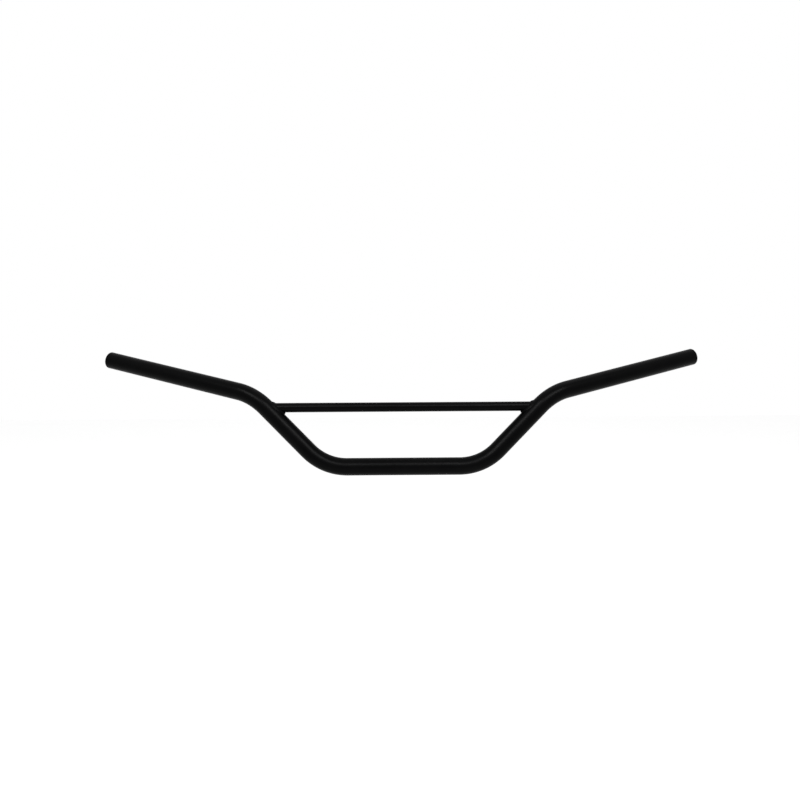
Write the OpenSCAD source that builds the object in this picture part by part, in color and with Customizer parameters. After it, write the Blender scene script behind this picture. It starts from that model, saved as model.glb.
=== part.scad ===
// Motocross handlebar: one bent tube, a crossbar welded between its struts, two open ends.
// Millimetres. +X runs along the clamp axis, +Y points back to the rider, +Z points up.
// The origin is the middle of the clamp section, on the tube's axis.

/* [Main tube] */
// Outside diameter of the bent main tube
tube_d = 22.2; // [19:0.1:25.4]
// Wall thickness of the main tube
tube_wall = 2; // [1.5:0.1:3.5]
// Radius of all four bends, measured to the tube's axis
bend_r = 68; // [55:1:85]
// How much bending draws the tube's diameter down
bend_draw = 0.04; // [0.02:0.01:0.2]
// Outside chamfer around each open end
end_chamfer = 0.6; // [0.2:0.1:0.8]
// Deburred edge inside the mouth of each open end
mouth_chamfer = 0.4; // [0.1:0.1:0.6]

/* [Bent shape] */
// Distance between the corner points of the two lower bends
base_w = 200; // [170:1:230]
// Distance between the corner points of the two upper bends
shoulder_w = 380; // [350:1:420]
// Height of the upper corner points above the clamp axis
shoulder_rise = 90; // [80:1:110]
// How far the upper corner points lie behind the clamp axis
shoulder_setback = 17; // [0:1:40]
// Distance between the centres of the two open ends
end_span = 798; // [700:1:860]
// Height of the open ends above the clamp axis
end_rise = 129; // [110:1:160]
// How far the open ends lie behind the clamp axis
end_pullback = 103; // [70:1:150]

/* [Crossbar] */
// Outside diameter of the crossbar
brace_d = 12; // [9.5:0.1:13]
// Wall thickness of the crossbar
brace_wall = 1.5; // [1:0.1:2.5]
// How far the crossbar's axis lies below the upper corner points
brace_drop = 16; // [13:0.5:30]

/* [Welds] */
// Leg of the weld bead at the sides of the joint
weld_leg = 3; // [2.5:0.1:4.5]
// How much the leg grows in the sharp corner and shrinks in the blunt one, as a share
weld_fill = 0.15; // [0:0.05:0.4]
// Height of the bead's rounded cap above its flat face
weld_crown = 0.3; // [0.1:0.1:0.8]

/* [Hidden] */
$fn = 96;
paint = [0.04, 0.04, 0.045];

// How far a cutting shape runs past the surface that it opens
cut_over = 1;
// How far each straight run reaches into the drawn-down bends at its ends
bend_lap = 0.5;
tube_bore = tube_d - 2 * tube_wall;
brace_bore = brace_d - 2 * brace_wall;

// Corner points of the right half, where the straight runs of the axis would meet
low_corner = [base_w / 2, 0, 0];
up_corner = [shoulder_w / 2, shoulder_setback, shoulder_rise];
end_centre = [end_span / 2, end_pullback, end_rise];

// Directions of the three straight runs, from the middle to the right end
base_dir = [1, 0, 0];
strut_dir = unit(up_corner - low_corner);
arm_dir = unit(end_centre - up_corner);

// Angle that each bend turns, and the length that it takes from each run it joins
low_turn = acos(base_dir * strut_dir);
up_turn = acos(strut_dir * arm_dir);
low_reach = bend_r * tan(low_turn / 2);
up_reach = bend_r * tan(up_turn / 2);

// Lengths of the straight runs between the bends
base_half = base_w / 2 - low_reach;
strut_len = norm(up_corner - low_corner) - low_reach - up_reach;
arm_len = norm(end_centre - up_corner) - up_reach;

// Side towards which each bend turns, and the normal of its plane
low_side = square_to(strut_dir, base_dir);
up_side = square_to(arm_dir, strut_dir);
low_normal = unit(cross(base_dir, strut_dir));
up_normal = unit(cross(strut_dir, arm_dir));

// Roll of each bend about the run before it, in the frame that the run is drawn in
low_roll = atan2(low_side.y, -low_side.z);
up_roll = atan2(up_side * low_normal, up_side * cross(low_normal, strut_dir));

// Ends of the strut's straight run and the centre of the upper bend
strut_start = low_corner + low_reach * strut_dir;
strut_end = strut_start + strut_len * strut_dir;
up_centre = strut_end + bend_r * up_side;

// The crossbar's axis crosses the axes of both struts
brace_z = shoulder_rise - brace_drop;
brace_y = brace_z * strut_dir.y / strut_dir.z;
brace_half = strut_x(brace_z);

// Stations around the weld bead, and steps across its cap
weld_stations = 48;
cap_steps = 3;
// How far the cap's flanks run on below the surfaces, and how deep the bead's root lies
weld_bite = 1.2;
weld_root = 1.5;
// How far past its straight run the strut's surface is carried on under the bead, past every toe
weld_follow = 8;
// Halvings in the search for the tube's wall, fine enough for a hundredth of a micron
wall_search = 32;

function unit(v) = v / norm(v);

// Part of direction v that is square to direction axis, as a unit vector
function square_to(v, axis) = unit(v - (v * axis) * axis);

// X of the strut's axis at height z
function strut_x(z) = low_corner.x + z * strut_dir.x / strut_dir.z;

// Nearest points to p on the strut's straight run, on the upper bend's circle, and on either
function on_strut(p) =
    strut_start + min(max((p - strut_start) * strut_dir, 0), strut_len) * strut_dir;
function on_bend(p) =
    let (v = p - up_centre)
    up_centre + bend_r * unit(v - (v * up_normal) * up_normal);
function on_tube_axis(p) =
    let (a = on_strut(p), b = on_bend(p))
    norm(p - a) < norm(p - b) ? a : b;

// X where a line along X at this y and z enters the right side of the tube, by halving
function wall_x(y, z, outside, inside, halvings = wall_search) =
    let (mid = (outside + inside) / 2, p = [mid, y, z])
    halvings == 0 ? mid
    : norm(p - on_tube_axis(p)) > tube_d / 2 ? wall_x(y, z, mid, inside, halvings - 1)
    : wall_x(y, z, outside, mid, halvings - 1);

// Section of the weld bead at an angle around the crossbar: the cap, then the buried root
function weld_section(angle) =
    let (
        out = [0, cos(angle), sin(angle)],
        y = brace_y + brace_d / 2 * out.y,
        z = brace_z + brace_d / 2 * out.z,
        corner = [wall_x(y, z, strut_x(z) - 2 * tube_d, strut_x(z)), y, z],
        tube_out = unit(corner - on_tube_axis(corner)),
        along_brace = -base_dir,
        along_tube = square_to(out, tube_out),
        leg = weld_leg * (1 + weld_fill * (along_brace * along_tube)),
        brace_toe = corner + leg * along_brace,
        tube_toe = corner + leg * along_tube,
        across = tube_toe - brace_toe,
        face_out = unit(along_brace + along_tube)
    )
    [
        brace_toe - weld_bite * unit(across),
        for (i = [1 : cap_steps - 1])
            let (s = i / cap_steps)
            brace_toe + s * across + 4 * s * (1 - s) * weld_crown * face_out,
        tube_toe + weld_bite * unit(across),
        corner - weld_root * (tube_out + out),
    ];

// Places its children at each stage of the right half, with +Z along the tube's axis
module at_low_bend()
    rotate([0, 90, 0])
        rotate([0, 0, low_roll])
            translate([0, 0, base_half])
                children();

module at_strut()
    at_low_bend()
        past_bend(low_turn)
            children();

module at_up_bend()
    at_strut()
        translate([0, 0, strut_len])
            rotate([0, 0, up_roll])
                children();

module at_arm()
    at_up_bend()
        past_bend(up_turn)
            children();

// Places its children at the far end of a bend that turns from +Z towards +X
module past_bend(angle)
    translate([bend_r, 0, 0])
        rotate([0, angle, 0])
            translate([-bend_r, 0, 0])
                children();

module both_sides() {
    children();
    mirror([1, 0, 0]) children();
}

// A round bar that starts at the origin along +Z and bends towards +X, drawn down by the bending
module bent_rod(d, angle)
    translate([bend_r, 0, 0])
        rotate([90, 0, 180])
            rotate_extrude(angle = angle)
                translate([bend_r, 0])
                    circle(d = d - bend_draw);

// The tube's run with a given diameter, from one end to the other
module tube_run(d, past_ends = 0) {
    rotate([0, 90, 0]) cylinder(h = 2 * (base_half + bend_lap), d = d, center = true);
    both_sides() {
        at_low_bend() bent_rod(d, low_turn);
        strut_run(d);
        at_arm()
            translate([0, 0, -bend_lap])
                cylinder(h = bend_lap + arm_len + past_ends, d = d);
    }
}

// The stretch that the crossbar is welded to: a strut and the bend above it
module strut_run(d, top_lap = bend_lap) {
    at_strut() translate([0, 0, -bend_lap]) cylinder(h = bend_lap + strut_len + top_lap, d = d);
    at_up_bend() bent_rod(d, up_turn);
}

// What is taken off one open end: the outside chamfer and the deburred mouth
module end_trim() {
    translate([0, 0, -end_chamfer])
        difference() {
            cylinder(h = end_chamfer + cut_over, d = tube_d + 2 * cut_over);
            cylinder(
                h = end_chamfer + cut_over,
                d1 = tube_d,
                d2 = tube_d - 2 * (end_chamfer + cut_over)
            );
        }
    translate([0, 0, -mouth_chamfer])
        cylinder(
            h = mouth_chamfer + cut_over,
            d1 = tube_bore,
            d2 = tube_bore + 2 * (mouth_chamfer + cut_over)
        );
}

module brace_rod(d, past_ends = 0)
    translate([0, brace_y, brace_z])
        rotate([0, 90, 0])
            cylinder(h = 2 * (brace_half + past_ends), d = d, center = true);

module main_tube()
    color(paint)
        difference() {
            tube_run(tube_d);
            tube_run(tube_bore, past_ends = cut_over);
            both_sides() at_arm() translate([0, 0, arm_len]) end_trim();
        }

// The crossbar's ends are coped to the struts, and meet them face to face
module crossbar()
    color(paint)
        difference() {
            brace_rod(brace_d);
            brace_rod(brace_bore, past_ends = cut_over);
            both_sides() strut_run(tube_d);
        }

// The bead around the crossbar's right end, cut to the surfaces that it lies on
module weld_bead() {
    sections = [for (i = [0 : weld_stations - 1]) weld_section(i * 360 / weld_stations)];
    count = len(sections[0]);
    total = weld_stations * count;
    difference() {
        polyhedron(
            points = [for (section = sections) each section],
            faces = [
                for (i = [0 : weld_stations - 1], j = [0 : count - 1])
                    [
                        i * count + j,
                        i * count + (j + 1) % count,
                        ((i + 1) * count + (j + 1) % count) % total,
                        ((i + 1) * count + j) % total,
                    ],
            ],
            convexity = 6
        );
        strut_run(tube_d, top_lap = weld_follow);
        brace_rod(brace_d);
    }
}

module right_weld() color(paint) weld_bead();
module left_weld() color(paint) mirror([1, 0, 0]) weld_bead();

main_tube();
crossbar();
left_weld();
right_weld();
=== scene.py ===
"""Looks of a motocross handlebar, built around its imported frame.

Two powder-coated steel tubes and the weld beads that join them, in metres, in the frame of the
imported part: +X along the clamp axis, +Y back towards the rider, +Z up, with the origin in the
middle of the clamp section, on the axis of the main tube.
"""

from __future__ import annotations

import logging
import math
from dataclasses import dataclass, field
from enum import Enum

import bpy
from mathutils import Matrix, Vector, noise

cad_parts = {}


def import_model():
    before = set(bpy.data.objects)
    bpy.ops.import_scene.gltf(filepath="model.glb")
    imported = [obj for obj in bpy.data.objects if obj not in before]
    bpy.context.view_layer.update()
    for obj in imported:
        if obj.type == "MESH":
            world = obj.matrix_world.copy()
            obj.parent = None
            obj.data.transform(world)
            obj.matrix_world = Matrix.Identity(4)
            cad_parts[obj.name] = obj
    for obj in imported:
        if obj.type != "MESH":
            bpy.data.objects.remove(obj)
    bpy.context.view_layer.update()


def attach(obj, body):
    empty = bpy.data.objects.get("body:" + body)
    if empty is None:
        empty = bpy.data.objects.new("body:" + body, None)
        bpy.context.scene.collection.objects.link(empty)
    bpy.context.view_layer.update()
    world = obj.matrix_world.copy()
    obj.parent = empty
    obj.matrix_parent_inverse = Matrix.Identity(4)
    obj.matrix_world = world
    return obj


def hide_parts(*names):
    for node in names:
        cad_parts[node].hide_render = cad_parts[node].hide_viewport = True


LOG = logging.getLogger("handlebar")
MM = 0.001
ROOT_BODY = "root"
WHITE = (1.0, 1.0, 1.0, 1.0)

Colour = tuple[float, float, float]
Place = tuple[float, float, float]
Span = tuple[float, float]
Socket = bpy.types.NodeSocket


class Side(Enum):
    """The two halves of the bar, by the sign of X."""

    LEFT = -1
    RIGHT = 1


class Slot(Enum):
    """Names of the record's material slots."""

    TUBE = "tube_paint"
    CROSSBAR = "crossbar_paint"
    WELD = "weld_paint"


@dataclass(frozen=True)
class Bend:
    """A round bend of the tube's centreline.

    Attributes:
        start: Where the straight run before it ends.
        heading: Direction of that run.
        side: Direction towards the centre of the bend, square to the heading.
        radius: Radius of the centreline.
        angle: Angle turned, in radians.
    """

    start: Vector
    heading: Vector
    side: Vector
    radius: float
    angle: float

    @property
    def centre(self) -> Vector:
        """Centre of the bend."""
        return self.start + self.radius * self.side

    @property
    def plane_normal(self) -> Vector:
        """Normal of the plane that the bend lies in."""
        return self.heading.cross(self.side)

    def inward(self, turned: float) -> Vector:
        """Direction from the centreline to the bend's centre after an angle has been turned."""
        return math.cos(turned) * self.side - math.sin(turned) * self.heading

    def tangent(self, turned: float) -> Vector:
        """Direction of the centreline after an angle has been turned."""
        return math.cos(turned) * self.heading + math.sin(turned) * self.side

    def point(self, turned: float) -> Vector:
        """Point of the centreline after an angle has been turned."""
        return self.centre - self.radius * self.inward(turned)

    def nearest(self, place: Vector) -> Vector:
        """Find the point of the bend's whole circle that lies nearest to a place.

        Args:
            place: A point off the bend's axis.

        Returns:
            The nearest point of the circle.
        """
        offset = place - self.centre
        flat = offset - offset.dot(self.plane_normal) * self.plane_normal
        return self.centre + self.radius * flat.normalized()


@dataclass(frozen=True)
class Station:
    """A place along the tube's centreline.

    Attributes:
        point: The place itself.
        tangent: Direction of the centreline there.
        inward: Direction to the bend's centre, or None on a straight run.
        flattening: How much the bend has flattened the tube there, from 0 to 1.
    """

    point: Vector
    tangent: Vector
    inward: Vector | None = None
    flattening: float = 0.0

    def mirrored(self) -> Station:
        """Mirror the station onto the other half, walked in the same direction along the bar.

        Returns:
            The station of the other half.
        """
        flip = Matrix.Diagonal((-1.0, 1.0, 1.0))
        inward = None if self.inward is None else flip @ self.inward
        return Station(flip @ self.point, -(flip @ self.tangent), inward, self.flattening)


@dataclass(frozen=True)
class BarShape:
    """Real sizes of the bar, and the centreline that follows from them.

    Attributes:
        tube_radius: Outside radius of the main tube.
        tube_wall: Wall of the main tube.
        bend_radius: Radius of the bends, at the centreline.
        low_corner: Corner point of the right lower bend.
        up_corner: Corner point of the right upper bend.
        end_centre: Centre of the right open end.
        brace_radius: Outside radius of the crossbar.
        brace_wall: Wall of the crossbar.
        brace_drop: How far the crossbar's axis lies below the upper corner points.
        search_reach: How far from a strut's axis the search for its wall starts, in tube radii.
        wall_halvings: Halvings in that search.
    """

    tube_radius: float = 11.1 * MM
    tube_wall: float = 2.0 * MM
    bend_radius: float = 68.0 * MM
    low_corner: Place = (100 * MM, 0.0, 0.0)
    up_corner: Place = (190 * MM, 17 * MM, 90 * MM)
    end_centre: Place = (399 * MM, 103 * MM, 129 * MM)
    brace_radius: float = 6.0 * MM
    brace_wall: float = 1.5 * MM
    brace_drop: float = 16.0 * MM
    search_reach: float = 4.0
    wall_halvings: int = 40

    @property
    def tube_bore_radius(self) -> float:
        """Inside radius of the main tube."""
        return self.tube_radius - self.tube_wall

    @property
    def strut_heading(self) -> Vector:
        """Direction of the right strut, upwards."""
        return (Vector(self.up_corner) - Vector(self.low_corner)).normalized()

    @property
    def arm_heading(self) -> Vector:
        """Direction of the right arm, outwards."""
        return (Vector(self.end_centre) - Vector(self.up_corner)).normalized()

    @property
    def low_bend(self) -> Bend:
        """The right lower bend, from the clamp section into the strut."""
        return self._bend(Vector(self.low_corner), Vector((1, 0, 0)), self.strut_heading)

    @property
    def up_bend(self) -> Bend:
        """The right upper bend, from the strut into the arm."""
        return self._bend(Vector(self.up_corner), self.strut_heading, self.arm_heading)

    @property
    def brace_height(self) -> float:
        """Height of the crossbar's axis."""
        return self.up_corner[2] - self.brace_drop

    @property
    def brace_setback(self) -> float:
        """Y of the crossbar's axis, which crosses the axes of the struts."""
        return self.brace_height * self.strut_heading.y / self.strut_heading.z

    def strut_x(self, height: float) -> float:
        """X of the right strut's axis at a height."""
        heading = self.strut_heading
        return self.low_corner[0] + height * heading.x / heading.z

    def nearest_axis_point(self, place: Vector) -> Vector:
        """Find the point of the tube's axis nearest to a place beside the right strut.

        Args:
            place: A point near the crossbar's right end.

        Returns:
            The nearest point of the strut's straight run or of the bend above it.
        """
        low, up = self.low_bend, self.up_bend
        foot = low.point(low.angle)
        length = (up.start - foot).length
        along = min(max((place - foot).dot(self.strut_heading), 0.0), length)
        on_strut = foot + along * self.strut_heading
        on_bend = up.nearest(place)
        return min(on_strut, on_bend, key=lambda point: (place - point).length)

    def wall_x(self, setback: float, height: float) -> float:
        """Find where a line along X enters the right side of the tube, by halving.

        Args:
            setback: Y of the line.
            height: Z of the line.

        Returns:
            X of the outer wall.
        """
        inside = self.strut_x(height)
        outside = inside - self.search_reach * self.tube_radius
        for _ in range(self.wall_halvings):
            middle = (inside + outside) / 2
            place = Vector((middle, setback, height))
            if (place - self.nearest_axis_point(place)).length > self.tube_radius:
                outside = middle
            else:
                inside = middle
        return inside

    def stations(self, bend_step: float, run_step: float) -> list[Station]:
        """Walk the whole bar, from the left end to the right end.

        Args:
            bend_step: Most that the centreline turns between stations, in radians.
            run_step: Most length between stations on a straight run.

        Returns:
            The stations, with one in the middle of the clamp section.
        """
        low, up = self.low_bend, self.up_bend
        end = Vector(self.end_centre)
        right = self._run(Vector((0, 0, 0)), low.start, run_step)
        right += self._turn(low, bend_step)
        right += self._run(low.point(low.angle), up.start, run_step)
        right += self._turn(up, bend_step)
        right += self._run(up.point(up.angle), end, run_step)
        right.append(Station(end, self.arm_heading))
        left = [station.mirrored() for station in reversed(right)]
        return left[:-1] + right

    def _bend(self, corner: Vector, before: Vector, after: Vector) -> Bend:
        """Round a corner between two headings.

        Args:
            corner: The corner point.
            before: Heading of the run before it.
            after: Heading of the run after it.

        Returns:
            The bend.
        """
        angle = before.angle(after)
        side = (after - after.dot(before) * before).normalized()
        start = corner - self.bend_radius * math.tan(angle / 2) * before
        return Bend(start, before, side, self.bend_radius, angle)

    @staticmethod
    def _run(start: Vector, end: Vector, step: float) -> list[Station]:
        """Walk a straight run, without its end.

        Args:
            start: Where the run starts.
            end: Where it ends.
            step: Most length between stations.

        Returns:
            The stations.
        """
        heading = (end - start).normalized()
        count = max(1, math.ceil((end - start).length / step))
        return [Station(start.lerp(end, i / count), heading) for i in range(count)]

    @staticmethod
    def _turn(bend: Bend, step: float) -> list[Station]:
        """Walk a bend, without its end, flattened most in its middle.

        Args:
            bend: The bend.
            step: Most that it turns between stations, in radians.

        Returns:
            The stations.
        """
        count = max(2, math.ceil(bend.angle / step))
        stations = []
        for i in range(count):
            turned = bend.angle * i / count
            flattening = math.sin(math.pi * i / count) ** 0.5
            stations.append(
                Station(bend.point(turned), bend.tangent(turned), bend.inward(turned), flattening)
            )
        return stations


class MeshBuilder:
    """Collects rings of points and the faces between them, and makes an object of them."""

    def __init__(self) -> None:
        """Start with no points and no faces."""
        self.points: list[Vector] = []
        self.faces: list[tuple[int, ...]] = []
        self.slots: list[int] = []

    def ring(self, points: list[Vector]) -> list[int]:
        """Add a ring of points.

        Args:
            points: The ring's points, in order.

        Returns:
            Their indices.
        """
        first = len(self.points)
        self.points += points
        return list(range(first, first + len(points)))

    def cover(self, ring: list[int], slot: int = 0) -> None:
        """Add one face over a whole ring, in a material slot."""
        self.faces.append(tuple(ring))
        self.slots.append(slot)

    def bridge(self, near: list[int], far: list[int], slot: int = 0) -> None:
        """Add a band of faces between two rings of the same length.

        Args:
            near: Indices of the first ring.
            far: Indices of the second ring.
            slot: Material slot of the band.
        """
        count = len(near)
        for i in range(count):
            j = (i + 1) % count
            self.cover([near[i], near[j], far[j], far[i]], slot)

    def build(self, name: str, materials: list[bpy.types.Material], crease: float) -> bpy.types.Object:
        """Make an object of what was collected.

        Args:
            name: Name of the object and its mesh.
            materials: Materials, by slot.
            crease: Angle above which an edge stays sharp, in degrees.

        Returns:
            The object, linked to the scene.
        """
        mesh = bpy.data.meshes.new(name)
        mesh.from_pydata([tuple(point) for point in self.points], [], self.faces)
        for material in materials:
            mesh.materials.append(material)
        mesh.polygons.foreach_set("material_index", self.slots)
        mesh.shade_smooth()
        mesh.set_sharp_from_angle(angle=math.radians(crease))
        mesh.update()
        piece = bpy.data.objects.new(name, mesh)
        bpy.context.scene.collection.objects.link(piece)
        return piece


class NodeSheet:
    """Adds nodes to one node tree."""

    def __init__(self, tree: bpy.types.NodeTree) -> None:
        """Take the tree to add to."""
        self.tree = tree

    def add(self, kind: str, **settings: object) -> bpy.types.Node:
        """Add a node.

        Args:
            kind: Blender's name of the node's type.
            **settings: Attributes to set on it.

        Returns:
            The node.
        """
        node = self.tree.nodes.new(kind)
        for key, value in settings.items():
            setattr(node, key, value)
        return node

    def connect(self, socket: Socket, value: object) -> None:
        """Link an input to an output, or set it to a plain value.

        Args:
            socket: The input.
            value: An output, a number, a vector or a colour.
        """
        if isinstance(value, bpy.types.NodeSocket):
            self.tree.links.new(value, socket)
        else:
            socket.default_value = value

    def feed(self, node: bpy.types.Node, **inputs: object) -> None:
        """Link or set a node's inputs, named with underscores for spaces."""
        for key, value in inputs.items():
            self.connect(node.inputs[key.replace("_", " ")], value)

    def calculate(self, kind: str, operation: str, *values: object) -> bpy.types.Node:
        """Add a node that works with numbers or vectors.

        Args:
            kind: Blender's name of the node's type.
            operation: Blender's name of the operation.
            *values: An output or a value for each of its inputs, in order.

        Returns:
            The node.
        """
        node = self.add(kind, operation=operation)
        for socket, value in zip(node.inputs, values):
            self.connect(socket, value)
        return node

    def remap(self, value: Socket, source: Span, target: Span) -> Socket:
        """Carry a value from one range into another, held at its ends.

        Args:
            value: The output to carry over.
            source: The range that it comes from.
            target: The range that it goes to.

        Returns:
            The carried value.
        """
        node = self.add("ShaderNodeMapRange", clamp=True)
        self.feed(node, Value=value, From_Min=source[0], From_Max=source[1])
        self.feed(node, To_Min=target[0], To_Max=target[1])
        return node.outputs["Result"]

    def seen_directly(self) -> Socket:
        """Tell rays that show a surface itself from those that only carry its light.

        Returns:
            1 for camera, glossy and transmission rays, and 0 for the others.
        """
        rays = self.add("ShaderNodeLightPath").outputs
        near = self.calculate("ShaderNodeMath", "MAXIMUM", rays["Is Camera Ray"], rays["Is Glossy Ray"])
        every = self.calculate("ShaderNodeMath", "MAXIMUM", near.outputs[0], rays["Is Transmission Ray"])
        return every.outputs[0]


class MaterialSheet(NodeSheet):
    """Builds one material around its Principled shader."""

    # A mix node repeats the names of its sockets for each kind of value, so these go by place
    COLOUR_INPUTS = (6, 7)
    COLOUR_OUTPUT = 2

    def __init__(self, name: str) -> None:
        """Make a material with a shader and the object's own coordinates.

        Args:
            name: Name of the material.
        """
        self.material = bpy.data.materials.new(name)
        self.material.use_nodes = True
        super().__init__(self.material.node_tree)
        self.shader = self.tree.nodes["Principled BSDF"]
        self.place = self.add("ShaderNodeTexCoord").outputs["Object"]

    def noise(self, scale: float, detail: float = 2.0, roughness: float = 0.5) -> Socket:
        """Add a noise texture over the object's own coordinates.

        Args:
            scale: Features per metre.
            detail: Octaves.
            roughness: Strength of the finer octaves.

        Returns:
            Its value, from 0 to 1.
        """
        node = self.add("ShaderNodeTexNoise")
        self.feed(node, Vector=self.place, Scale=scale, Detail=detail, Roughness=roughness)
        return node.outputs["Fac"]

    def blend_colours(self, share: Socket, first: Colour | Socket, second: Colour | Socket) -> Socket:
        """Mix two colours.

        Args:
            share: Share of the second colour.
            first: The first colour, or an output.
            second: The second colour, or an output.

        Returns:
            The mixed colour.
        """
        node = self.add("ShaderNodeMix", data_type="RGBA")
        self.feed(node, Factor=share)
        for index, colour in zip(self.COLOUR_INPUTS, (first, second)):
            self.connect(node.inputs[index], (*colour, 1.0) if isinstance(colour, tuple) else colour)
        return node.outputs[self.COLOUR_OUTPUT]

    def bump(self, height: Socket, depth: float, strength: float, under: Socket | None = None) -> Socket:
        """Add a bump.

        Args:
            height: Height, from 0 to 1.
            depth: Height of 1, in metres.
            strength: Share of the bump that shows.
            under: Normal of a bump that this one lies on.

        Returns:
            The bumped normal.
        """
        node = self.add("ShaderNodeBump")
        self.feed(node, Height=height, Distance=depth, Strength=strength)
        if under is not None:
            self.feed(node, Normal=under)
        return node.outputs["Normal"]


@dataclass(frozen=True)
class PowderCoat:
    """Black powder coat: an even satin film with a fine orange peel.

    Attributes:
        name: Name of the material.
        dark: Colour where the film is thickest.
        light: Colour where it is thinnest.
        cloud_scale: Thick and thin patches of the film per metre.
        cloud_span: Noise at which the film is thickest and thinnest.
        roughness: Least and most roughness.
        grain_scale: Rougher and smoother spots per metre.
        grain_span: Noise at which the film is smoothest and roughest.
        specular: Specular level.
        peel_scale: Waves of the orange peel per metre.
        peel_depth: Height of the orange peel, in metres.
        flow_scale: Broad waves of the film per metre.
        flow_depth: Height of the broad waves, in metres.
        relief: Share of both that shows.
    """

    name: str = "black_powder_coat"
    dark: Colour = (0.0005, 0.0005, 0.0006)
    light: Colour = (0.0011, 0.0011, 0.0012)
    cloud_scale: float = 38.0
    cloud_span: Span = (0.35, 0.68)
    roughness: Span = (0.29, 0.35)
    grain_scale: float = 210.0
    grain_span: Span = (0.3, 0.7)
    specular: float = 0.032
    peel_scale: float = 620.0
    peel_depth: float = 0.07 * MM
    flow_scale: float = 130.0
    flow_depth: float = 0.16 * MM
    relief: float = 0.8

    def material(self) -> bpy.types.Material:
        """Build the material.

        Returns:
            The material.
        """
        sheet = MaterialSheet(self.name)
        cloud = sheet.noise(self.cloud_scale, detail=4.0, roughness=0.55)
        thinness = sheet.remap(cloud, self.cloud_span, (0.0, 1.0))
        grain = sheet.noise(self.grain_scale, detail=3.0)
        peel_height = sheet.noise(self.peel_scale, detail=1.5)
        peel = sheet.bump(peel_height, self.peel_depth, self.relief)
        flow_height = sheet.noise(self.flow_scale, detail=1.0)
        sheet.feed(
            sheet.shader,
            Base_Color=sheet.blend_colours(thinness, self.dark, self.light),
            Roughness=sheet.remap(grain, self.grain_span, self.roughness),
            Specular_IOR_Level=self.specular,
            Normal=sheet.bump(flow_height, self.flow_depth, self.relief, peel),
        )
        return sheet.material


@dataclass(frozen=True)
class BareBore:
    """Inside of the tube: drawn steel, with powder blown a little way in from the mouth.

    Attributes:
        mouth: Centre of the right open end.
        heading: Direction of the right arm, outwards.
        name: Name of the material.
        steel: Colour of the bare steel.
        scale_tint: Colour of its dull patches.
        patch_scale: Dull patches per metre.
        patch_span: Noise at which the steel is bright and dull.
        roughness: Roughness of bright and of dull steel.
        metallic: How metallic the bare steel is.
        metal_span: Bareness at which the surface starts to turn metallic, and at which it has.
        powder: Colour of the powder that blew in.
        overspray: Ragged depth around which the powder runs out, in metres.
        edge_span: Where it starts to run out and has run out, as shares of that depth.
        fringe_scale: Tongues of the powder's ragged edge per metre.
        fringe: Most that the ragged edge adds to the depth of a place, in metres.
        pit_scale: Pits of the steel per metre.
        pit_depth: Depth of the pits, in metres.
        pit_relief: Share of the pits that shows.
    """

    mouth: Vector
    heading: Vector
    name: str = "drawn_steel_bore"
    steel: Colour = (0.42, 0.41, 0.39)
    scale_tint: Colour = (0.22, 0.205, 0.185)
    patch_scale: float = 160.0
    patch_span: Span = (0.38, 0.62)
    roughness: Span = (0.38, 0.6)
    metallic: float = 0.85
    metal_span: Span = (0.2, 1.0)
    powder: Colour = (0.006, 0.006, 0.0065)
    overspray: float = 9 * MM
    edge_span: Span = (0.3, 1.3)
    fringe_scale: float = 420.0
    fringe: float = 10 * MM
    pit_scale: float = 900.0
    pit_depth: float = 0.03 * MM
    pit_relief: float = 0.4

    def material(self) -> bpy.types.Material:
        """Build the material.

        Returns:
            The material.
        """
        sheet = MaterialSheet(self.name)
        blotches = sheet.noise(self.patch_scale, detail=5.0, roughness=0.6)
        dullness = sheet.remap(blotches, self.patch_span, (0.0, 1.0))
        steel = sheet.blend_colours(dullness, self.steel, self.scale_tint)
        bareness = self._bareness(sheet)
        sheet.feed(
            sheet.shader,
            Base_Color=sheet.blend_colours(bareness, self.powder, steel),
            Metallic=sheet.remap(bareness, self.metal_span, (0.0, self.metallic)),
            Roughness=sheet.remap(dullness, (0.0, 1.0), self.roughness),
            Normal=sheet.bump(sheet.noise(self.pit_scale), self.pit_depth, self.pit_relief),
        )
        return sheet.material

    def _bareness(self, sheet: MaterialSheet) -> Socket:
        """Tell bare steel from the powder's ragged edge.

        Args:
            sheet: Sheet of the material.

        Returns:
            0 under the powder and 1 where the steel is bare.
        """
        tongues = sheet.noise(self.fringe_scale, detail=4.0)
        depth = self._depth(sheet)
        ragged = sheet.calculate("ShaderNodeMath", "MULTIPLY_ADD", tongues, self.fringe, depth)
        start, end = self.edge_span
        edge = (start * self.overspray, end * self.overspray)
        return sheet.remap(ragged.outputs[0], edge, (0.0, 1.0))

    def _depth(self, sheet: MaterialSheet) -> Socket:
        """Measure how deep a place lies inside the nearer mouth.

        Args:
            sheet: Sheet of the material.

        Returns:
            The depth, from the place with its X made positive.
        """
        folded = sheet.calculate("ShaderNodeVectorMath", "ABSOLUTE", sheet.place)
        away = sheet.calculate("ShaderNodeVectorMath", "SUBTRACT", self.mouth, folded.outputs[0])
        depth = sheet.calculate("ShaderNodeVectorMath", "DOT_PRODUCT", away.outputs[0], self.heading)
        return depth.outputs["Value"]


def dress(piece: bpy.types.Object, node: str) -> None:
    """Let a piece ride on the bar and stand for its CAD node, which it hides.

    Args:
        piece: The new piece.
        node: The CAD node that it replaces.
    """
    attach(piece, ROOT_BODY)
    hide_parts(node)


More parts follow.
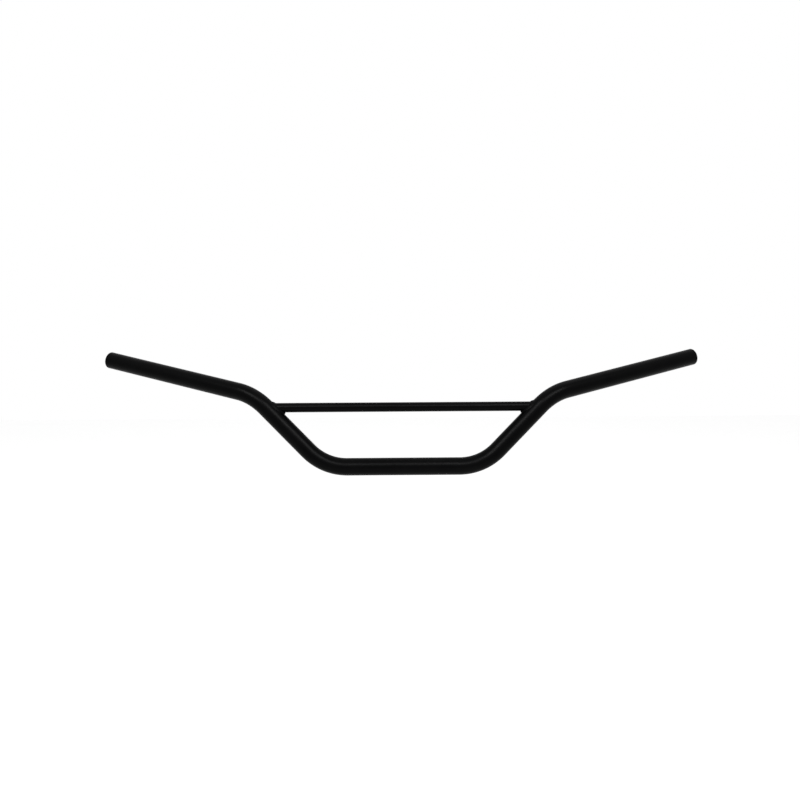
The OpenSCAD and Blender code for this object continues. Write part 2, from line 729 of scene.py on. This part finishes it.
@dataclass
class MainTube:
    """The bent tube: clamp section, struts and arms in one run, open at both ends.

    Attributes:
        shape: Sizes of the bar.
        coat: Finish of the outside.
        bore: Finish of the inside.
        around: Points around the tube.
        bend_step: Most turned between two rings, in degrees.
        run_step: Most length between two rings.
        end_chamfer: Chamfer around the outside of an open end.
        mouth_chamfer: Deburred edge inside it.
        edge_cuts: Rounds of corner cutting that soften both chamfers.
        cut_shares: Where a round cuts each stretch of the edge, as shares of the stretch.
        coat_reach: Share of an open end's edge that the coat covers, from the outside.
        flattening: Share of the radius that a bend takes off its outer side.
        crease: Angle above which an edge stays sharp, in degrees.
    """

    shape: BarShape
    coat: bpy.types.Material
    bore: bpy.types.Material
    around: int = 128
    bend_step: float = 1.5
    run_step: float = 12 * MM
    end_chamfer: float = 0.6 * MM
    mouth_chamfer: float = 0.4 * MM
    edge_cuts: int = 2
    cut_shares: Span = (0.25, 0.75)
    coat_reach: float = 0.75
    flattening: float = 0.012
    crease: float = 40.0

    def build(self) -> bpy.types.Object:
        """Build the tube and dress it.

        Returns:
            The tube's object.
        """
        builder = MeshBuilder()
        stations = self.shape.stations(math.radians(self.bend_step), self.run_step)
        normals = self._carried_normals(stations)
        run = list(zip(stations, normals))[1:-1]
        outside = [builder.ring(self._ring(*place, self.shape.tube_radius)) for place in run]
        inside = [builder.ring(self._ring(*place, self.shape.tube_bore_radius)) for place in run]
        for near, far in zip(outside, outside[1:]):
            builder.bridge(far, near)
        for near, far in zip(inside, inside[1:]):
            builder.bridge(near, far, slot=1)
        self._close_end(builder, Side.RIGHT, stations[-1], normals[-1], outside[-1], inside[-1])
        self._close_end(builder, Side.LEFT, stations[0], normals[0], outside[0], inside[0])
        tube = builder.build("bent_tube", [self.coat, self.bore], self.crease)
        dress(tube, "main_tube")
        return tube

    @staticmethod
    def _carried_normals(stations: list[Station]) -> list[Vector]:
        """Carry a normal along the bar without twist.

        Args:
            stations: Stations from end to end.

        Returns:
            A normal for each.
        """
        normal = stations[0].tangent.orthogonal().normalized()
        normals = []
        for station in stations:
            normal = (normal - normal.dot(station.tangent) * station.tangent).normalized()
            normals.append(normal.copy())
        return normals

    def _ring(self, station: Station, normal: Vector, radius: float) -> list[Vector]:
        """Lay points around the tube, drawn in a little on the outer side of a bend.

        Args:
            station: The place along the bar.
            normal: Where the ring starts.
            radius: Radius of the round tube.

        Returns:
            The ring's points.
        """
        across = station.tangent.cross(normal)
        points = []
        for i in range(self.around):
            angle = 2 * math.pi * i / self.around
            out = math.cos(angle) * normal + math.sin(angle) * across
            reach = radius
            if station.inward is not None:
                outer_side = max(0.0, -out.dot(station.inward))
                reach *= 1 - self.flattening * station.flattening * outer_side**2
            points.append(station.point + reach * out)
        return points

    def _end_profile(self) -> list[Span]:
        """Draw the edge of an open end, with its chamfers softened by corner cutting.

        Returns:
            Depth below the end and radius of each ring, from the outside to the bore.
        """
        outer, inner = self.shape.tube_radius, self.shape.tube_bore_radius
        profile = [
            (2 * self.end_chamfer, outer),
            (self.end_chamfer, outer),
            (0.0, outer - self.end_chamfer),
            (0.0, inner + self.mouth_chamfer),
            (self.mouth_chamfer, inner),
            (2 * self.mouth_chamfer, inner),
        ]
        for _ in range(self.edge_cuts):
            cut = [profile[0]]
            for start, end in zip(profile, profile[1:]):
                cut += [
                    (start[0] + share * (end[0] - start[0]), start[1] + share * (end[1] - start[1]))
                    for share in self.cut_shares
                ]
            profile = [*cut, profile[-1]]
        return profile

    def _close_end(
        self,
        builder: MeshBuilder,
        side: Side,
        end: Station,
        normal: Vector,
        outside: list[int],
        inside: list[int],
    ) -> None:
        """Close the wall at an open end.

        Args:
            builder: The mesh so far.
            side: Which end it is. The tangent points out of the right one.
            end: Station of the end.
            normal: Where its rings start.
            outside: Last ring of the outside.
            inside: Last ring of the bore.
        """
        outward = side.value * end.tangent
        profile = self._end_profile()
        rings = [outside]
        for depth, radius in profile:
            station = Station(end.point - depth * outward, end.tangent)
            rings.append(builder.ring(self._ring(station, normal, radius)))
        rings.append(inside)
        coated = int(self.coat_reach * len(profile)) + 1
        for index, (near, far) in enumerate(zip(rings, rings[1:])):
            pair = (far, near) if side is Side.RIGHT else (near, far)
            builder.bridge(*pair, slot=0 if index < coated else 1)


@dataclass
class Crossbar:
    """The thin tube between the struts, coped to their inner sides.

    Attributes:
        shape: Sizes of the bar.
        coat: Finish of the outside.
        around: Points around the tube.
        bite: How far its ends reach into the struts' walls, hidden by the weld.
        step: Most length between two rings.
        crease: Angle above which an edge stays sharp, in degrees.
    """

    shape: BarShape
    coat: bpy.types.Material
    around: int = 96
    bite: float = 0.5 * MM
    step: float = 10 * MM
    crease: float = 40.0

    def build(self) -> bpy.types.Object:
        """Build the crossbar and dress it.

        Returns:
            The crossbar's object.
        """
        builder = MeshBuilder()
        outer = self._shell(builder, self.shape.brace_radius)
        inner = self._shell(builder, self.shape.brace_radius - self.shape.brace_wall)
        for near, far in zip(outer, outer[1:]):
            builder.bridge(far, near)
        for near, far in zip(inner, inner[1:]):
            builder.bridge(near, far)
        builder.bridge(outer[0], inner[0])
        builder.bridge(inner[-1], outer[-1])
        bar = builder.build("coped_crossbar", [self.coat], self.crease)
        dress(bar, "crossbar")
        return bar

    def _shell(self, builder: MeshBuilder, radius: float) -> list[list[int]]:
        """Lay the rings of one surface of the crossbar, from left to right.

        Args:
            builder: The mesh so far.
            radius: Radius of the surface.

        Returns:
            Indices of the rings.
        """
        angles = [2 * math.pi * i / self.around for i in range(self.around)]
        lines = [
            (
                self.shape.brace_setback + radius * math.cos(angle),
                self.shape.brace_height + radius * math.sin(angle),
            )
            for angle in angles
        ]
        reach = [self.shape.wall_x(y, z) + self.bite for y, z in lines]
        shortest = min(reach) - self.step
        count = math.ceil(2 * shortest / self.step)
        rings = [builder.ring([Vector((-x, y, z)) for x, (y, z) in zip(reach, lines)])]
        for i in range(count + 1):
            x = shortest * (2 * i / count - 1)
            rings.append(builder.ring([Vector((x, y, z)) for y, z in lines]))
        rings.append(builder.ring([Vector((x, y, z)) for x, (y, z) in zip(reach, lines)]))
        return rings


@dataclass
class WeldBead:
    """Fillet weld around one end of the crossbar, with the ripples that its puddle left.

    Attributes:
        shape: Sizes of the bar.
        side: Which end it is on.
        coat: Finish over the bead.
        leg: Leg of the bead at the sides of the joint.
        fill: How much the leg grows with the sharpness of the corner, as a share.
        wander: How much the welder's hand changes the leg, as a share.
        wander_pace: How fast it changes the leg around the joint.
        crown: Height of the rounded cap above a flat face.
        fullness: Power that shapes the cap, where less is fuller at its toes.
        ripples: Ripples around the joint.
        ripple_height: Height of a ripple.
        ripple_lag: How far a ripple lags at the toes, in ripples.
        ripple_round: Power that rounds each ripple's top.
        ripple_trough: Share of a ripple's height that lies below the smooth cap.
        ripple_mean: Mean strength of the ripples.
        ripple_spread: How far their strength varies from the mean, either way.
        ripple_pace: How fast it varies around the joint and across the cap.
        steps_per_ripple: Stations along one ripple.
        steps_across: Steps across the cap.
        sink: About how far the toes run on below the surfaces.
        crease: Angle above which an edge stays sharp, in degrees.
    """

    # Layers of the noise, of which each side reads its own, so that the beads differ
    LEG_LAYER = 5
    RIPPLE_LAYER = 9

    shape: BarShape
    side: Side
    coat: bpy.types.Material
    leg: float = 3.0 * MM
    fill: float = 0.15
    wander: float = 0.06
    wander_pace: float = 3.0
    crown: float = 0.28 * MM
    fullness: float = 0.7
    ripples: int = 34
    ripple_height: float = 0.17 * MM
    ripple_lag: float = 0.375
    ripple_round: float = 1.6
    ripple_trough: float = 0.6
    ripple_mean: float = 0.75
    ripple_spread: float = 0.5
    ripple_pace: float = 2.0
    steps_per_ripple: int = 12
    steps_across: int = 22
    sink: float = 0.35 * MM
    crease: float = 60.0

    def build(self) -> bpy.types.Object:
        """Build the bead and dress it.

        Returns:
            The bead's object.
        """
        builder = MeshBuilder()
        count = self.ripples * self.steps_per_ripple
        rings = [builder.ring(self._section(2 * math.pi * i / count)) for i in range(count)]
        for i, ring in enumerate(rings):
            after = rings[(i + 1) % count]
            pair = (ring, after) if self.side is Side.RIGHT else (after, ring)
            builder.bridge(*pair)
        node = f"{self.side.name.lower()}_weld"
        bead = builder.build(f"{node}_bead", [self.coat], self.crease)
        dress(bead, node)
        return bead

    def _section(self, angle: float) -> list[Vector]:
        """Draw the closed section of the bead at an angle around the crossbar.

        Args:
            angle: Angle around the crossbar's axis, in radians.

        Returns:
            Points over the cap, from the crossbar to the tube, and back through the buried root.
        """
        shape = self.shape
        out = Vector((0.0, math.cos(angle), math.sin(angle)))
        setback = shape.brace_setback + shape.brace_radius * out.y
        height = shape.brace_height + shape.brace_radius * out.z
        corner = Vector((shape.wall_x(setback, height), setback, height))
        tube_out = (corner - shape.nearest_axis_point(corner)).normalized()
        along_brace = Vector((-1.0, 0.0, 0.0))
        along_tube = (out - out.dot(tube_out) * tube_out).normalized()
        leg = self._leg(angle, along_brace.dot(along_tube))
        brace_toe = corner + leg * along_brace
        tube_toe = corner + leg * along_tube
        face_out = (along_brace + along_tube).normalized()
        across = tube_toe - brace_toe
        points = [brace_toe - self.sink / 2 * (out + across.normalized())]
        for i in range(self.steps_across + 1):
            share = i / self.steps_across
            points.append(brace_toe + share * across + self._lift(angle, share) * face_out)
        points.append(tube_toe + self.sink / 2 * (across.normalized() - tube_out))
        points.append(corner - 2 * self.sink * (tube_out + out))
        if self.side is Side.LEFT:
            points = [Vector((-point.x, point.y, point.z)) for point in points]
        return points

    def _leg(self, angle: float, sharpness: float) -> float:
        """Size the bead's leg, which the welder's hand changes slowly around the joint.

        Args:
            angle: Angle around the crossbar's axis, in radians.
            sharpness: Cosine of the angle between the two surfaces.

        Returns:
            The leg.
        """
        layer = self.LEG_LAYER * self.side.value
        hand = 1 + self.wander * self._noise_around(angle, self.wander_pace, layer)
        return self.leg * (1 + self.fill * sharpness) * hand

    def _lift(self, angle: float, share: float) -> float:
        """Raise the cap above the flat face of the fillet.

        Args:
            angle: Angle around the crossbar's axis, in radians.
            share: Place across the cap, from 0 at the crossbar to 1 at the tube.

        Returns:
            The height, with its crescent ripples.
        """
        arch = 4 * share * (1 - share)
        lag = self.ripple_lag * (2 * share - 1) ** 2
        phase = (angle / (2 * math.pi) * self.ripples + lag) % 1.0
        ripple = 1 - abs(2 * phase - 1) ** self.ripple_round
        layer = self.ripple_pace * share + self.RIPPLE_LAYER * self.side.value
        chance = self._noise_around(angle, self.ripple_pace, layer)
        strength = self.ripple_mean + self.ripple_spread * chance
        relief = self.ripple_height * (ripple - self.ripple_trough) * strength
        return arch**self.fullness * (self.crown + relief)

    @staticmethod
    def _noise_around(angle: float, pace: float, layer: float) -> float:
        """Smooth noise from -1 to 1 that closes on itself around the joint."""
        return noise.noise(Vector((pace * math.cos(angle), pace * math.sin(angle), layer)))


@dataclass(frozen=True)
class Pose:
    """Where the camera of the photograph stood.

    Attributes:
        distance: Distance from the point that it aims at.
        elevation: Angle above the bar, in degrees.
        azimuth: Angle around the bar from straight ahead, in degrees.
        roll: Turn about its own axis, in degrees.
        aim: The point that it aims at.
        focal_pixels: Focal length in the photograph's own pixels.
        image_pixels: Side of the photograph, in pixels.
        sensor: Width of the camera's sensor, in millimetres.
        clip_start: Nearest distance that the camera sees.
    """

    distance: float = 1.0
    elevation: float = 7.34
    azimuth: float = -0.45
    roll: float = -0.31
    aim: Place = (-3.95 * MM, 0.0, 84.71 * MM)
    focal_pixels: float = 798.9
    image_pixels: float = 800.0
    sensor: float = 36.0
    clip_start: float = 10 * MM

    @property
    def lens(self) -> float:
        """Focal length, in millimetres."""
        return self.sensor * self.focal_pixels / self.image_pixels

    def matrix(self) -> Matrix:
        """Work out the place and turn of the camera.

        Returns:
            The camera's world matrix.
        """
        lift, turn = math.radians(self.elevation), math.radians(self.azimuth)
        roll = math.radians(self.roll)
        back = Vector(
            (math.sin(turn) * math.cos(lift), -math.cos(turn) * math.cos(lift), math.sin(lift))
        )
        level = Vector((math.cos(turn), math.sin(turn), 0.0))
        upright = back.cross(level)
        right = math.cos(roll) * level + math.sin(roll) * upright
        up = math.cos(roll) * upright - math.sin(roll) * level
        turned = Matrix((right, up, back)).transposed().to_4x4()
        return Matrix.Translation(Vector(self.aim) + self.distance * back) @ turned


@dataclass(frozen=True)
class Softbox:
    """A soft lamp that looks at the middle of the bar.

    Attributes:
        name: Name of the lamp.
        place: Where it hangs.
        size: Its width and height.
        power: Its power, in watts.
    """

    name: str
    place: Place
    size: Span
    power: float

    def hang(self, aim: Place) -> None:
        """Add the lamp to the scene.

        Args:
            aim: The point that it looks at.
        """
        light = bpy.data.lights.new(self.name, "AREA")
        light.shape = "RECTANGLE"
        light.size, light.size_y = self.size
        light.energy = self.power
        lamp = bpy.data.objects.new(self.name, light)
        lamp.location = self.place
        look = Vector(aim) - Vector(self.place)
        lamp.rotation_euler = look.to_track_quat("-Z", "Y").to_euler()
        bpy.context.scene.collection.objects.link(lamp)


@dataclass
class Studio:
    """Floor, backdrop, lamps and camera.

    Attributes:
        pose: Place of the camera.
        softboxes: The lamps.
        backdrop_level: Strength of the backdrop where it is seen or mirrored, where 1 is white.
        fill_level: Strength of the light that it throws on the object.
        floor_drop: How far the floor lies below the clamp axis.
        floor_size: Side of the floor.
        floor_shades: Darkest and lightest grey of the floor's paint.
        floor_mottle: Dark and light patches of the paint per metre.
        mottle_span: Noise at which the paint is darkest and lightest.
        floor_roughness: Roughness of the paint.
        floor_specular: Specular level of the paint.
        floor_lift: Glow that brings the floor to the backdrop's white where it is seen.
    """

    pose: Pose = field(default_factory=Pose)
    softboxes: tuple[Softbox, ...] = (
        Softbox("left_softbox", (-0.72, -1.35, 1.46), (1.1, 0.5), 29.0),
        Softbox("right_softbox", (0.66, -1.35, 1.46), (1.1, 0.5), 29.0),
        Softbox("top_softbox", (0.25, 0.45, 1.8), (1.2, 1.2), 3.0),
    )
    backdrop_level: float = 1.0
    fill_level: float = 0.14
    floor_drop: float = 0.62
    floor_size: float = 9.0
    floor_shades: Span = (0.86, 0.88)
    floor_mottle: float = 1.2
    mottle_span: Span = (0.3, 0.7)
    floor_roughness: float = 0.9
    floor_specular: float = 0.1
    floor_lift: float = 0.81

    def build(self) -> None:
        """Build the studio around the bar."""
        self._world()
        self._floor()
        for softbox in self.softboxes:
            softbox.hang(self.pose.aim)
        self._camera()
        bpy.context.scene.view_settings.view_transform = "Standard"

    def _world(self) -> None:
        """Put up a backdrop that is white where it is seen or mirrored, and a soft fill light."""
        world = bpy.data.worlds.new("studio")
        world.use_nodes = True
        bpy.context.scene.world = world
        sheet = NodeSheet(world.node_tree)
        level = sheet.remap(sheet.seen_directly(), (0.0, 1.0), (self.fill_level, self.backdrop_level))
        background = world.node_tree.nodes["Background"]
        sheet.feed(background, Color=WHITE, Strength=level)

    def _floor(self) -> None:
        """Lay a pale floor, well below the bar, that keeps its soft shadow."""
        builder = MeshBuilder()
        half = self.floor_size / 2
        corners = [(-half, -half), (half, -half), (half, half), (-half, half)]
        builder.cover(builder.ring([Vector((x, y, -self.floor_drop)) for x, y in corners]))
        floor = builder.build("floor", [self._floor_paint()], crease=30.0)

    def _floor_paint(self) -> bpy.types.Material:
        """Mix a white floor paint that glows where it is seen directly.

        Returns:
            The material.
        """
        sheet = MaterialSheet("floor_paint")
        dark, light = ((shade, shade, shade) for shade in self.floor_shades)
        fade = sheet.remap(sheet.noise(self.floor_mottle), self.mottle_span, (0.0, 1.0))
        sheet.feed(
            sheet.shader,
            Base_Color=sheet.blend_colours(fade, dark, light),
            Roughness=self.floor_roughness,
            Specular_IOR_Level=self.floor_specular,
            Emission_Color=WHITE,
            Emission_Strength=sheet.remap(sheet.seen_directly(), (0.0, 1.0), (0.0, self.floor_lift)),
        )
        return sheet.material

    def _camera(self) -> None:
        """Set up the camera at the photograph's place and angle."""
        data = bpy.data.cameras.new("camera")
        data.sensor_width = self.pose.sensor
        data.lens = self.pose.lens
        data.clip_start = self.pose.clip_start
        camera = bpy.data.objects.new("camera", data)
        camera.matrix_world = self.pose.matrix()
        bpy.context.scene.collection.objects.link(camera)
        bpy.context.scene.camera = camera


def main() -> None:
    """Load the frame, build every piece and the studio, and report each piece."""
    logging.basicConfig(level=logging.INFO, format="%(name)s: %(message)s")
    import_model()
    shape = BarShape()
    coat = PowderCoat().material()
    weld_coat = PowderCoat(name="powder_over_weld", peel_depth=0.09 * MM).material()
    bore = BareBore(Vector(shape.end_centre), shape.arm_heading).material()
    parts: list[MainTube | Crossbar | WeldBead] = [MainTube(shape, coat, bore), Crossbar(shape, coat)]
    parts += [WeldBead(shape, side, weld_coat) for side in Side]
    for part in parts:
        piece = part.build()
        LOG.info("%s: %d faces", piece.name, len(piece.data.polygons))
    Studio().build()


if __name__ == "__main__":
    main()
